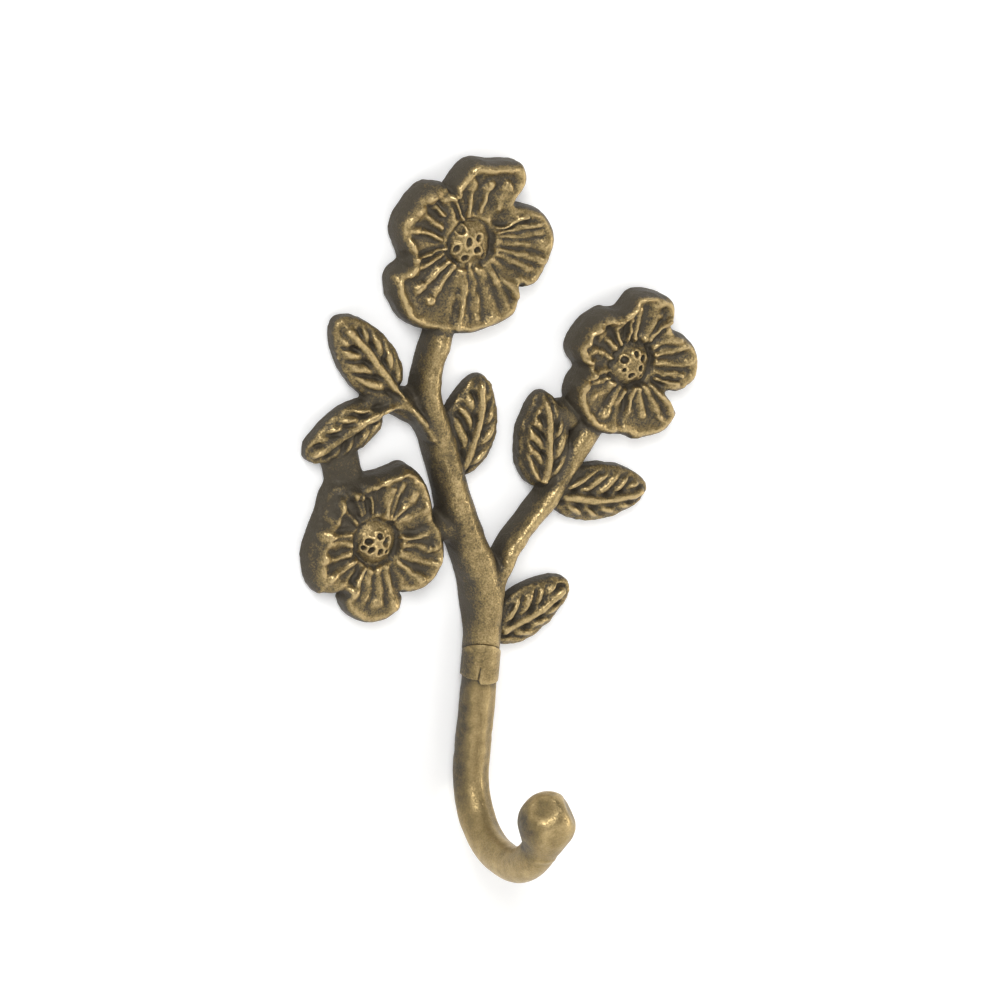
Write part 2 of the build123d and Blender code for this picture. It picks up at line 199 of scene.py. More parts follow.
# All leaves: height of the blade, where along it is widest, how blunt its tip is, how far it falls to
# its sides and edge, the slant of its ribs, and the grooves between them and beside the midrib
LEAF_HEIGHT = 4.8
LEAF_BELLY = 0.42
LEAF_BLUNT = 2.4
LEAF_SIDE_DROP = 0.3
LEAF_EDGE_DROP = 1.3
LEAF_RIM_INSET = 1.8
LEAF_COAT = 0.2
RIB_SLANT = 1.15
RIB_GROOVE = 0.85
MIDRIB_GROOVE = 0.6
MIDRIB_RISE = 0.5

# Branches as stations: place on the wall, width and height of the half-round section. The bridge and
# the webs are where a flower, a leaf and a branch run into each other.
LIMB_SQUARENESS = 2.1
MAIN_BRANCH = (
    (0.1, -19.5, 8.7, 8.45), (0.1, -9.0, 9.0, 8.6), (-1.0, -1.0, 9.6, 8.6), (-4.1, 6.0, 8.9, 8.3),
    (-8.0, 14.5, 8.3, 8.0), (-11.5, 24.0, 7.8, 7.7), (-15.1, 33.5, 7.6, 7.4),
    (-18.5, 42.0, 7.2, 7.0), (-18.2, 50.0, 6.4, 6.4), (-16.2, 57.5, 6.6, 6.0),
    (-15.2, 60.5, 6.6, 4.0), (-14.6, 63.0, 6.0, 2.6),
)
SIDE_BRANCH = (
    (1.5, -9.0, 5.0, 6.6), (2.8, -1.0, 5.4, 7.0), (5.7, 5.8, 5.5, 6.6), (10.1, 11.8, 5.5, 6.4),
    (14.4, 17.0, 6.0, 6.1), (18.8, 23.6, 6.0, 4.9), (22.9, 30.2, 7.2, 4.8), (24.8, 33.6, 7.8, 4.0),
    (26.0, 36.0, 8.0, 2.6),
)
LEAF_TWIG = (
    (-17.6, 37.0, 6.0, 5.0), (-22.4, 40.2, 7.2, 4.7), (-28.0, 42.0, 5.6, 4.4),
    (-32.0, 42.6, 4.0, 3.4),
)
LEAF_RIBS = (
    ((-29.0, 46.8, 1.9, 5.2), (-25.0, 42.4, 2.1, 5.6), (-21.3, 38.2, 2.3, 6.0), (-17.8, 33.6, 2.6, 7.0)),
    ((-33.0, 38.0, 1.9, 5.2), (-27.5, 40.9, 2.1, 5.5), (-23.5, 40.2, 2.2, 5.8), (-20.2, 37.0, 2.2, 6.2)),
)
FLOWER_BRIDGE = ((-6.5, 12.0, 7.0, 5.4), (-12.5, 11.6, 7.4, 5.0), (-17.0, 11.0, 7.0, 4.6))
PETAL_WEB = (
    (-38.5, 31.0, 9.6, 3.4), (-37.2, 26.5, 9.0, 3.3), (-36.0, 22.5, 10.6, 3.6), (-35.5, 19.0, 11.0, 3.6),
)
LEAF_WEB = ((11.8, 37.4, 4.6, 3.2), (14.6, 36.6, 6.4, 3.5), (18.5, 36.0, 8.0, 3.9))

# Rod, joint, collar and bud
ROD_RADIUS = 4.0
AXIS_HEIGHT = 4.45
JOINT_Y = -20.0
SPIGOT_RADIUS = 2.5
SPIGOT_LENGTH = 7.0
FOOT_LENGTH = 14.0
SHANK_LENGTH = 24.5
BEND_RADIUS = 16.4
SOLE_LENGTH = 3.0
UPTURN_ANGLE = 84
BUD_RADIUS = 6.6
BUD_NECK = 7.6
BUD_CROWN = 7.3
ROD_SWELL = 0.14
FILED_TURN = math.radians(33)
FOOT_RADIUS = 4.5
COLLAR_RADIUS = 4.45
COLLAR_TOP = 5.2
COLLAR_ARCH = 2.7
COLLAR_BACK = 1.6
COLLAR_LEAD = math.radians(26)
COLLAR_FOOT = 3.4
COLLAR_STEP = 1.0
COLLAR_SEAM = -2.0
COLLAR_GRAIN = 0.14

# Facets filed on the bud: direction across, outwards and along it, and distance from its middle
BUD_FACETS = (
    (0.75, -0.35, 0.56, 5.8), (-0.5, -0.4, 0.75, 6.3), (0.85, -0.3, -0.25, 6.1), (-0.1, -1.0, -0.15, 6.3),
)
# The bud's radius along it
BUD_PROFILE = (
    (-BUD_NECK, 1.8), (-6.2, 3.3), (-4.4, 4.8), (-2.2, 6.05), (0, BUD_RADIUS),
    (2.2, 6.4), (4.2, 5.5), (5.8, 4.1), (6.8, 2.6), (BUD_CROWN, 1.2),
)

# Keyholes in the back
KEYHOLES = ((-11.4, 76.7), (-28.7, 9.7))
KEYHOLE_HEAD = 3.5
KEYHOLE_SLOT = 1.8
KEYHOLE_DROP = 5.0
KEYHOLE_LIP = 0.9
KEYHOLE_DEPTH = 2.6

TRIANGLE_LIMITS = {"flower_branch": 196000, "hook": 90000, "joint_collar": 60000}

# Wear: level and gain of the wheel's rubbing, how wide it reaches over hollows (mm), and the heights over
# which the painted shade on the left side of the rod sets in
WEAR_LEVEL = 0.24
WEAR_GAIN = 1.5
WHEEL_REACH = 1.5
LEFT_SHADE_HEIGHTS = (-62, -46)

# Patterns of the brass, in cells to the millimetre. The cloudy patches left by the dip are 2.4 mm wide.
# Moulding sand is about 0.2 mm and leaves pits as small, too fine for the render's 0.23 mm pixel, so
# both are drawn about 0.4 mm wide. Their bumps are SKIN_DEPTH millimetres high at full strength.
PATCHES_PER_MM = 0.42
GRAINS_PER_MM = 2.4
PITS_PER_MM = 2.3
SKIN_DEPTH = 0.14

# Camera: turned and raised round the hook, with the slight lean of the photograph
CAMERA_TURN = -30.0
CAMERA_RISE = 16.0
CAMERA_LEAN = 5.1
CAMERA_DISTANCE = 900.0
CAMERA_AIM = (0.0, -4.2, -20.0)
AIM_PIXEL = (480.0, 660.0)
MM_PER_PIXEL = 0.2263
IMAGE_SIZE = 1000.0


def linear(code):
    """An sRGB hex colour as linear red, green and blue."""
    parts = [int(code[i:i + 2], 16) / 255 for i in (1, 3, 5)]
    return [c / 12.92 if c <= 0.04045 else ((c + 0.055) / 1.055) ** 2.4 for c in parts]


class WallHookSizes(bpy.types.PropertyGroup):
    """Sizes of the hook's surface that a maker would change"""

    grain: FloatProperty(
        name="Mesh grain", description="Spacing of the points a piece's surface is made from",
        default=0.00027, min=0.00015, max=0.001, precision=5, unit="LENGTH",
    )
    trough: FloatProperty(
        name="Cup floor", description="Height above the wall of the bottom of a flower's cup",
        default=0.0036, min=0.0034, max=0.006, precision=5, unit="LENGTH",
    )
    draft: FloatProperty(
        name="Draft", description="How far an outer wall leans in from back to front",
        default=0.0003, min=0.0, max=0.002, precision=5, unit="LENGTH",
    )
    ripple: FloatProperty(
        name="Sand ripple", description="Height of the unevenness left by the sand mould",
        default=0.0001, min=0.0, max=0.0005, precision=5, unit="LENGTH",
    )


class WallHookFinish(bpy.types.PropertyGroup):
    """Colours of the antique brass"""

    bright: FloatVectorProperty(
        name="Rubbed brass", description="Brass where the dark coat was wiped off",
        subtype="COLOR", size=3, default=linear("#C0A97B"), min=0.0, max=1.0,
    )
    worn: FloatVectorProperty(
        name="Half-rubbed brass", description="Brass under a thin brown film",
        subtype="COLOR", size=3, default=linear("#8A7852"), min=0.0, max=1.0,
    )
    # Also the colour of the painted shade on faces turned from the front and on the rod's left side
    coat: FloatVectorProperty(
        name="Dark coat", description="The brown-black coat left in the hollows",
        subtype="COLOR", size=3, default=linear("#4A4336"), min=0.0, max=1.0,
    )


def settings(context):
    """The panel's sizes as plain millimetres, and its colours."""
    held = context.scene.wallhook_sizes
    sizes = {key: round(getattr(held, key) / MM, 4) for key in held.__annotations__}
    return SimpleNamespace(**sizes), context.scene.wallhook_finish


def smooth_step(low, high, value):
    """0 below low, 1 above high and a smooth change between them."""
    t = np.clip((value - low) / (high - low), 0, 1)
    return t * t * (3 - 2 * t)


def smooth_min(a, b, blend):
    """The smaller of two fields, with the corner between them filled over the blend's width."""
    mix = np.clip(0.5 + 0.5 * (b - a) / blend, 0, 1)
    return b + (a - b) * mix - blend * mix * (1 - mix)


def smooth_max(a, b, blend):
    """The larger of two fields, with the edge between them rounded over the blend's width."""
    return -smooth_min(-a, -b, blend)


def curve_through(points, per_span, closed=False):
    """Points along a smooth curve through the given ones."""
    rows = np.array(points, float)
    if closed:
        rows = np.vstack([rows[-1:], rows, rows[:2]])
    else:
        rows = np.vstack([2 * rows[0] - rows[1], rows, 2 * rows[-1] - rows[-2]])
    t = (np.arange(per_span) / per_span)[:, None]
    spans = []
    for a, b, c, d in zip(rows, rows[1:], rows[2:], rows[3:]):
        spans.append(0.5 * (2 * b + (c - a) * t + (2 * a - 5 * b + 4 * c - d) * t**2
                            + (3 * b - a - 3 * c + d) * t**3))
    if not closed:
        spans.append(rows[-2:-1])
    return np.vstack(spans)


def nearest_on_line(x, y, line):
    """For each point: distance to the line, side of it, length along it and the line's values there."""
    best = np.full(x.shape, 1e9)
    side = np.zeros(x.shape)
    along = np.zeros(x.shape)
    carried = [np.zeros(x.shape) for _ in range(line.shape[1] - 2)]
    run = 0.0
    for a, b in zip(line, line[1:]):
        dx, dy = b[0] - a[0], b[1] - a[1]
        length = math.hypot(dx, dy)
        if length < 1e-9:
            continue
        raw = ((x - a[0]) * dx + (y - a[1]) * dy) / length**2
        t = np.clip(raw, 0, 1)
        distance = np.hypot(x - a[0] - t * dx, y - a[1] - t * dy)
        closer = distance < best
        best = np.where(closer, distance, best)
        side = np.where(closer, np.sign(dx * (y - a[1]) - dy * (x - a[0])), side)
        along = np.where(closer, run + t * length, along)
        for index, values in enumerate(carried):
            here = a[index + 2] + t * (b[index + 2] - a[index + 2])
            carried[index] = np.where(closer, here, values)
        run += length
    return best, side, along, carried


def outline_distance(x, y, outline):
    """Distance to a closed outline, negative inside it."""
    best = np.full(x.shape, 1e9)
    inside = np.zeros(x.shape, bool)
    for a, b in zip(outline, np.roll(outline, -1, axis=0)):
        dx, dy = b - a
        t = np.clip(((x - a[0]) * dx + (y - a[1]) * dy) / (dx * dx + dy * dy + 1e-12), 0, 1)
        best = np.minimum(best, (x - a[0] - t * dx) ** 2 + (y - a[1] - t * dy) ** 2)
        if dy:
            crosses = ((a[1] > y) != (b[1] > y)) & (x < dx * (y - a[1]) / dy + a[0])
            inside ^= crosses
    best = np.sqrt(best)
    return np.where(inside, -best, best)


class Field:
    """A block of points round a piece, each with its distance outside the piece in millimetres."""

    def __init__(self, low, high, step):
        self.low = np.array(low, float)
        self.step = step
        counts = np.ceil((np.array(high, float) - self.low) / step).astype(int) + 1
        self.axes = [self.low[i] + step * np.arange(counts[i]) for i in range(3)]
        self.value = np.full(counts, FAR, np.float32)
        self.coat = np.zeros(counts[:2], np.float32)

    def window(self, low, high):
        """The part of the block between two corners."""
        first = [max(int((low[i] - self.low[i]) / self.step), 0) for i in range(3)]
        last = [int((high[i] - self.low[i]) / self.step) + 2 for i in range(3)]
        return tuple(slice(a, b) for a, b in zip(first, last))

    def plan(self, where):
        """The window's points seen from the front, and their heights above the wall."""
        x, y = np.meshgrid(self.axes[0][where[0]], self.axes[1][where[1]], indexing="ij")
        return x, y, self.axes[2][where[2]]

    def grid(self, where):
        """The window's points in all three directions."""
        return np.meshgrid(*(self.axes[i][where[i]] for i in range(3)), indexing="ij")

    def whole(self):
        """All of the block as a window."""
        return tuple(slice(0, len(axis)) for axis in self.axes)

    def join(self, where, part, blend):
        """Adds a part, with a fillet where it meets what is there."""
        self.value[where] = smooth_min(part, self.value[where], blend)

    def keep_coat(self, where, amount):
        """Marks where the polishing wheel left more of the dark coat, as seen from the front."""
        self.coat[where[:2]] = np.maximum(self.coat[where[:2]], amount)

    def cut(self, where, part):
        """Takes a part away."""
        self.value[where] = np.maximum(self.value[where], -part)

    def sample(self, values, points):
        """Values of a block at points given in grid steps."""
        limit = np.array(values.shape) - 2
        base = np.clip(np.floor(points).astype(int), 0, limit)
        t = np.clip(points - base, 0, 1)
        total = 0.0
        for i in (0, 1):
            for j in (0, 1):
                for k in (0, 1):
                    share = abs(1 - i - t[:, 0]) * abs(1 - j - t[:, 1]) * abs(1 - k - t[:, 2])
                    total = total + share * values[base[:, 0] + i, base[:, 1] + j, base[:, 2] + k]
        return total

    def skin(self):
        """The surface where the field is zero, as points in grid steps and four-sided faces."""
        value = self.value
        inside = value < 0
        size = [n - 1 for n in value.shape]
        corners = [(i, j, k) for i in (0, 1) for j in (0, 1) for k in (0, 1)]
        count = sum(inside[i:i + size[0], j:j + size[1], k:k + size[2]].astype(np.int8)
                    for i, j, k in corners)
        active = (count > 0) & (count < 8)
        cells = np.argwhere(active)
        index = np.full(active.shape, -1, np.int32)
        index[active] = np.arange(len(cells))
        at = [value[cells[:, 0] + i, cells[:, 1] + j, cells[:, 2] + k] for i, j, k in corners]
        total = np.zeros((len(cells), 3))
        hits = np.zeros(len(cells))
        for a, first in enumerate(corners):
            for b, second in enumerate(corners):
                if b > a and sum(abs(p - q) for p, q in zip(first, second)) == 1:
                    crossing = (at[a] < 0) != (at[b] < 0)
                    t = np.where(crossing, at[a] / np.where(crossing, at[a] - at[b], 1), 0)
                    step = np.array(first) + t[:, None] * (np.array(second) - np.array(first))
                    total += np.where(crossing[:, None], step, 0)
                    hits += crossing
        points = cells + total / hits[:, None]
        for _ in range(2):
            points = points + np.clip(self.correction(points), -0.3, 0.3)
        faces = []
        for axis in range(3):
            u, v = (axis + 1) % 3, (axis + 2) % 3
            low = np.take(inside, range(size[axis]), axis)
            high = np.take(inside, range(1, size[axis] + 1), axis)
            edges = np.argwhere(low != high)
            edges = edges[(edges[:, u] > 0) & (edges[:, v] > 0)]
            edges = edges[(edges[:, u] < size[u]) & (edges[:, v] < size[v])]
            du, dv = np.eye(3, dtype=int)[u], np.eye(3, dtype=int)[v]
            ring = [index[tuple(cell.T)] for cell in (edges, edges - du, edges - du - dv, edges - dv)]
            outward = low[tuple(edges.T)]
            quads = np.stack(ring, 1)
            quads[~outward] = quads[~outward][:, ::-1]
            faces.append(quads)
        return points, np.vstack(faces)

    def slope(self, points):
        """The direction out of the piece at points given in grid steps."""
        parts = []
        for axis in range(3):
            step = np.eye(3)[axis] * 0.5
            parts.append(self.sample(self.value, points + step) - self.sample(self.value, points - step))
        return np.stack(parts, 1)

    def correction(self, points):
        """The move that takes points onto the surface."""
        slope = self.slope(points)
        away = self.sample(self.value, points)
        return -away[:, None] * slope / np.maximum((slope**2).sum(1), 1e-6)[:, None]

    def fullness(self, sigma):
        """How much of the space round each point is metal or wall, from 0 to 1."""
        solid = np.clip(0.5 - self.value / self.step, 0, 1)
        solid[:, :, self.axes[2] < 0] = 1.0
        skip = max(int(sigma / self.step / 2.5), 1)
        solid = solid[::skip, ::skip, ::skip]
        reach = int(3 * sigma / (self.step * skip)) + 1
        offsets = np.arange(-reach, reach + 1)
        weights = np.exp(-0.5 * (offsets * self.step * skip / sigma) ** 2)
        weights /= weights.sum()
        for axis in range(3):
            padded = np.pad(solid, [(reach, reach) if i == axis else (0, 0) for i in range(3)], "edge")
            length = solid.shape[axis]
            solid = sum(w * np.take(padded, range(o + reach, o + reach + length), axis)
                        for o, w in zip(offsets, weights.astype(np.float32)))
        return solid, skip


def smooth_noise(shape, step, spacing, seed):
    """Smooth random values about 1 high over a grid, changing over a spacing in millimetres."""
    rng = np.random.default_rng(seed)
    values = rng.standard_normal([int(n * step / spacing) + 3 for n in shape])
    for axis, count in enumerate(shape):
        at = np.arange(count) * step / spacing
        base = at.astype(int)
        t = at - base
        t = t * t * (3 - 2 * t)
        low, high = np.take(values, base, axis), np.take(values, base + 1, axis)
        form = [1] * len(shape)
        form[axis] = count
        values = low + (high - low) * t.reshape(form)
    return values.astype(np.float32)


def ripple(field, where, spacing, seed):
    """Smooth random unevenness over a window of a field."""
    shape = [where[i].indices(len(field.axes[i]))[1] - where[i].start for i in range(3)]
    return smooth_noise(shape, field.step, spacing, seed)


def sand_ripple(field, where, sizes, seed, *scales):
    """Unevenness that the sand mould leaves, as heights and their spacings in millimetres."""
    return sizes.ripple * sum(
        height * ripple(field, where, spacing, seed + index)
        for index, (height, spacing) in enumerate(scales))


def waver(x, y, step, amount, seed):
    """Shifts a plan's points a little, so that lines drawn on it come out uneven as in wax."""
    dx = smooth_noise(x.shape, step, 3.2, seed) + 0.4 * smooth_noise(x.shape, step, 1.4, seed + 1)
    dy = smooth_noise(x.shape, step, 3.2, seed + 2) + 0.4 * smooth_noise(x.shape, step, 1.4, seed + 3)
    return x + amount * dx, y + amount * dy


def relief(x, y, z, edge, height, draft, rounding):
    """A solid that stands on the wall inside an outline and rises to a height given from the front."""
    step = x[1, 0] - x[0, 0]
    slope_x, slope_y = np.gradient(height, step)
    steep = np.sqrt(1 + np.minimum(slope_x**2 + slope_y**2, 9))
    side = edge[:, :, None] + draft * z[None, None, :] / 7
    top = (z[None, None, :] - height[:, :, None]) / steep[:, :, None]
    return smooth_max(side, top, rounding)


def bump(distance, radius):
    """A round-topped swelling, 1 high, of that radius."""
    return np.exp(-(distance / (0.72 * radius)) ** 2)


def lip_inset(x, y, flower):
    """How far inside the outline a flower's lip lies; outside it the petals slope down."""
    direction, extra = flower["shoulder"]
    heading = np.arctan2(y, x) - math.radians(direction)
    return LIP_INSET + extra * smooth_step(0.2, 0.95, np.cos(heading))


def flower_height(x, y, edge, flower, trough, gain):
    """Height of a flower's front: rolled rim, cup, creases between petals, stamens and boss."""
    reach = np.hypot(x, y)
    heading = np.degrees(np.arctan2(y, x))
    inner = np.maximum(-edge, 0)
    share = reach / (reach + inner + 1e-6)
    weight = 0.0
    rim = 0.0
    for direction, petal_rim in flower["petals"]:
        off = (heading - direction + 180) % 360 - 180
        near = np.exp(-(off / 28) ** 2)
        weight = weight + near
        rim = rim + near * petal_rim
    rim = rim / weight
    rise = np.clip((share - 0.30) / 0.62, 0, 1)
    turned = smooth_step(-0.35, 0.55, np.cos(np.radians(heading - LIP_TURN)))
    inset = lip_inset(x, y, flower)
    lip = np.exp(-((inner - inset) / LIP_WIDTH) ** 2) * (0.3 + 0.7 * turned) * (0.35 + 0.65 * gain)
    lumps = 1 + 0.45 * (gain - 1) * np.sin(3.1 * x + 2.0 * gain) - 0.12 * np.cos(2.6 * y)
    lip = lip * np.clip(lumps, 0.3, 1.3)
    height = trough + (rim - trough) * (0.36 * rise + 0.22 * rise**4 + LIP_RISE * lip)
    height = height - 1.1 * (inset - 1.2) * np.maximum(1 - inner / inset, 0) ** 1.5
    for direction in flower["creases"]:
        c, s = math.cos(math.radians(direction)), math.sin(math.radians(direction))
        along = x * c + y * s
        off = np.abs(y * c - x * s)
        on = smooth_step(5.5, 8.5, along)
        lip_beside = CREASE_DEPTH * gain * np.exp(-((off - 1.5) / 0.8) ** 2)
        height = height + on * (lip_beside - CREASE_DEPTH * np.exp(-(off / 0.9) ** 2))
    up = np.zeros(x.shape)
    down = np.zeros(x.shape)
    for x0, y0, x1, y1, width, bead in flower["stamens"]:
        line = np.array(((x0, y0), (x1, y1)))
        off, _, along, _ = nearest_on_line(x, y, line)
        taper = 0.95 + 0.3 * along / math.dist((x0, y0), (x1, y1))
        up = np.maximum(up, STAMEN_RISE * (0.7 + 0.3 * gain) * bump(off, 1.75 * width**1.5 * taper))
        down = np.maximum(down, STAMEN_VALLEY * bump(off, width * 2.6))
        if bead:
            back = 0.8 / math.dist((x0, y0), (x1, y1))
            club = np.array(((x1 - back * (x1 - x0), y1 - back * (y1 - y0)), (x1, y1)))
            off = nearest_on_line(x, y, club)[0]
            up = np.maximum(up, CLUB_RISE * np.exp(-(off / (1.02 * bead)) ** 2.6))
            down = np.maximum(down, 0.6 * bump(off, bead * 2.3))
    height = height + up - down
    height = smooth_min(height, rim + 1.0, 0.5)
    ring = np.exp(-((reach - RING_RADIUS) / 0.7) ** 2) * gain
    moat = np.exp(-((reach - MOAT_RADIUS) / 0.6) ** 2)
    height = height + 0.35 * ring - 0.45 * moat
    dome = flower["boss"] + 0.2 - BOSS_FALL * (reach / BOSS_RADIUS) ** 2.6
    for px, py, size in flower["pits"]:
        off = np.hypot(x - px, y - py)
        dome = dome - 0.85 * np.exp(-(off / (0.85 * size)) ** 3)
        dome = dome + 0.35 * np.exp(-((off - 1.35 * size) / 0.36) ** 2)
    return np.where(reach < BOSS_EDGE, smooth_max(height, dome, 0.3), height)


def add_flower(field, flower, sizes, seed):
    """One cupped flower, solid to the wall."""
    cx, cy = flower["centre"]
    where = field.window((cx - 21, cy - 21, -1), (cx + 21, cy + 21, 9.5))
    x, y, z = field.plan(where)
    x, y = x - cx, y - cy
    edge = outline_distance(x, y, curve_through(flower["outline"], 6, closed=True))
    wx, wy = waver(x, y, field.step, 0.26, seed + 4)
    gain = np.clip(1 + 0.32 * smooth_noise(x.shape, field.step, 1.8, seed + 9), 0.4, 1.6)
    height = flower_height(wx, wy, edge, flower, sizes.trough, gain)
    part = relief(x, y, z, edge, height, sizes.draft, FLOWER_ROUNDING)
    inset = lip_inset(x, y, flower)
    coat = FLOWER_COAT * (1 - smooth_step(0.3 * inset, 0.75 * inset, -edge))
    field.keep_coat(where, np.where(edge < 0.3, coat, 0))
    part += sand_ripple(field, where, sizes, seed, (0.8, 2.4), (0.5, 0.8))
    field.join(where, part, 0.5)


def leaf_outline(base, tip, width):
    """A leaf seen from the front: a round base and two arcs that meet in a blunt point."""
    length = math.dist(base, tip)
    along = (1 - np.cos(np.linspace(0, math.pi, 48))) / 2
    round_base = np.sqrt(np.clip(1 - ((LEAF_BELLY - along) / LEAF_BELLY) ** 2, 0, 1))
    reach = (along - LEAF_BELLY) * length
    far, half = (1 - LEAF_BELLY) * length + LEAF_BLUNT, width / 2
    arc = (far**2 + half**2) / (2 * half)
    blade = (np.sqrt(np.maximum(arc**2 - reach**2, 0)) + half - arc) / half
    tip_round = np.sqrt(np.clip((1 - along) * length * 2.6, 0, None)) / half * 1.35
    shape = np.where(along < LEAF_BELLY, round_base, np.minimum(np.clip(blade, 0, 1), tip_round))
    side = np.concatenate([half * shape, -half * shape[-2:0:-1]])
    along = np.concatenate([along, along[-2:0:-1]]) * length
    ux, uy = (tip[0] - base[0]) / length, (tip[1] - base[1]) / length
    return np.stack([base[0] + along * ux - side * uy, base[1] + along * uy + side * ux], 1)


def add_leaf(field, leaf, sizes, seed):
    """One leaf: a blade with a raised midrib and puffed ribs with grooves between them."""
    base, tip, width, midrib, pitch, groove, rim = leaf
    low = np.minimum(base, tip) - width * 0.7
    high = np.maximum(base, tip) + width * 0.7
    where = field.window((*low, -1), (*high, 7))
    x, y, z = field.plan(where)
    edge = outline_distance(x, y, leaf_outline(base, tip, width))
    line = curve_through(midrib, 6)
    off, side, along, _ = nearest_on_line(*waver(x, y, field.step, 0.13, seed + 4), line)
    inner = np.maximum(-edge, 0)
    share = off / (off + inner + 1e-6)
    height = LEAF_HEIGHT - LEAF_SIDE_DROP * (1 - share)
    height = height - LEAF_EDGE_DROP * (1 - smooth_step(0.5, 2.8, inner))
    height = height + rim * np.exp(-((inner - LEAF_RIM_INSET) / 0.6) ** 2) * (side > 0)
    phase = (along - off * RIB_SLANT + 0.2 * side * pitch) / pitch
    number = np.floor(phase)
    away = np.abs(phase - number - 0.5 + 0.08 * np.sin(number * 2.7 + side + seed)) * pitch * 0.7
    strength = 0.85 + 0.25 * np.sin(number * 4.1 + 2 * side + seed)
    fade = smooth_step(0.7, 1.7, off) * smooth_step(0.8, 2.2, inner)
    pillow = 0.22 * np.cos(2 * math.pi * (phase - number))
    height = height + fade * (pillow - RIB_GROOVE * strength * np.exp(-(away / (1.15 * groove)) ** 2))
    height = height - MIDRIB_GROOVE * np.exp(-((off - 1.5) / 0.6) ** 2)
    height = height + MIDRIB_RISE * np.exp(-(off / 0.75) ** 3)
    part = relief(x, y, z, edge, height, sizes.draft, 1.5)
    border = 0.09 * width
    coat = LEAF_COAT * (1 - smooth_step(border, 2 * border, -edge))
    field.keep_coat(where, np.where(edge < 0.3, coat, 0))
    part += sand_ripple(field, where, sizes, seed, (0.9, 2.2), (0.6, 0.8))
    field.join(where, part, 0.6)


def add_limb(field, stations, sizes, seed, blend=1.2, coat=0.0):
    """A branch with a flat back and a half-round front, and more or less coat left on it."""
    line = curve_through(stations, 8)
    low, high = line.min(0), line.max(0)
    margin = line[:, 2].max() / 2 + 1.5
    where = field.window((*(low[:2] - margin), -1), (*(high[:2] + margin), 9.6))
    x, y, z = field.plan(where)
    off, _, _, (width, tall) = nearest_on_line(x, y, line)
    across = (off / (width / 2))[:, :, None]
    up = np.maximum(z[None, None, :], 0) / tall[:, :, None]
    round_part = (across**LIMB_SQUARENESS + up**LIMB_SQUARENESS) ** (1 / LIMB_SQUARENESS)
    part = (round_part - 1) * np.minimum(width / 2, tall)[:, :, None]
    part = part + sand_ripple(field, where, sizes, seed, (1.1, 3.4), (0.35, 0.9))
    field.join(where, part.astype(np.float32), blend)
    field.keep_coat(where, np.where(off < width / 2 + 0.5, coat, 0))


def bar(x, y, z, low, high, radius):
    """A round bar on the hook's axis between two heights up the wall."""
    around = np.hypot(x, z - AXIS_HEIGHT) - radius
    ends = np.maximum(low - y, y - high)
    return np.maximum(around, ends)


def collar_top(x, z):
    """Height of the collar's arched top edge round the rod: highest at the front left."""
    turn = (math.cos(COLLAR_LEAD) * (z - AXIS_HEIGHT) - math.sin(COLLAR_LEAD) * x) / COLLAR_RADIUS
    return JOINT_Y + np.maximum(COLLAR_TOP - COLLAR_ARCH * (1 - turn), COLLAR_BACK)


def collar_foot(x):
    """Height of the collar's lower edge, which steps down at the seam."""
    return JOINT_Y - COLLAR_FOOT - COLLAR_STEP * smooth_step(-0.3, 0.4, x - COLLAR_SEAM)


def keyhole(x, y, z, place):
    """The hollow of one keyhole: the head's entry lies below the slot that the screw rests in."""
    px, py = place
    half = KEYHOLE_DROP / 2
    head = np.hypot(x - px, y - py + half) - KEYHOLE_HEAD
    rise = np.hypot(x - px, y - py - np.clip(y - py, -half, half))
    mouth = np.minimum(head, rise - KEYHOLE_SLOT)
    undercut = np.maximum(rise - KEYHOLE_HEAD, KEYHOLE_LIP - z)
    return np.maximum(np.minimum(mouth, undercut), z - KEYHOLE_DEPTH)


def field_round(node, margin, step, floor=None):
    """An empty field round a CAD node, with a margin, and where its lowest layer lies."""
    low, high = (Vector(corner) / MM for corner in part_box(node))
    floor = -high.y - margin if floor is None else floor
    return Field((low.x - margin, low.z - margin, floor),
                 (high.x + margin, high.z + margin, -low.y + margin), step)


def make_mesh(name, node, field):
    """The field's surface as a mesh, stood up against the wall, within the node's triangle limit."""
    points, faces = field.skin()
    bench = field.low + points * field.step
    stood = np.stack([bench[:, 0], -bench[:, 2], bench[:, 1]], 1) * MM
    mesh = bpy.data.meshes.new(name)
    mesh.vertices.add(len(stood))
    mesh.vertices.foreach_set("co", stood.astype(np.float32).ravel())
    mesh.loops.add(faces.size)
    mesh.loops.foreach_set("vertex_index", faces.astype(np.int32).ravel())
    mesh.polygons.add(len(faces))
    mesh.polygons.foreach_set("loop_start", np.arange(0, faces.size, 4, dtype=np.int32))
    mesh.update(calc_edges=True)
    mesh.validate()
    piece = bpy.data.objects.new(name, mesh)
    bpy.context.scene.collection.objects.link(piece)
    thin_out(piece, TRIANGLE_LIMITS[node])
    return piece


def thin_out(piece, limit):
    """Joins the smallest faces until the mesh is under a number of triangles."""
    count = sum(len(p.vertices) - 2 for p in piece.data.polygons)
    if count > limit:
        modifier = piece.modifiers.new("thin out", "DECIMATE")
        modifier.ratio = limit / count
        graph = bpy.context.evaluated_depsgraph_get()
        mesh = bpy.data.meshes.new_from_object(piece.evaluated_get(graph))
        piece.modifiers.clear()
        old = piece.data
        piece.data = mesh
        bpy.data.meshes.remove(old)
        mesh.name = piece.name


def mesh_points(piece):
    """The mesh's points in the shared frame, in metres."""
    flat = np.zeros(len(piece.data.vertices) * 3, np.float32)
    piece.data.vertices.foreach_get("co", flat)
    return flat.reshape(-1, 3)


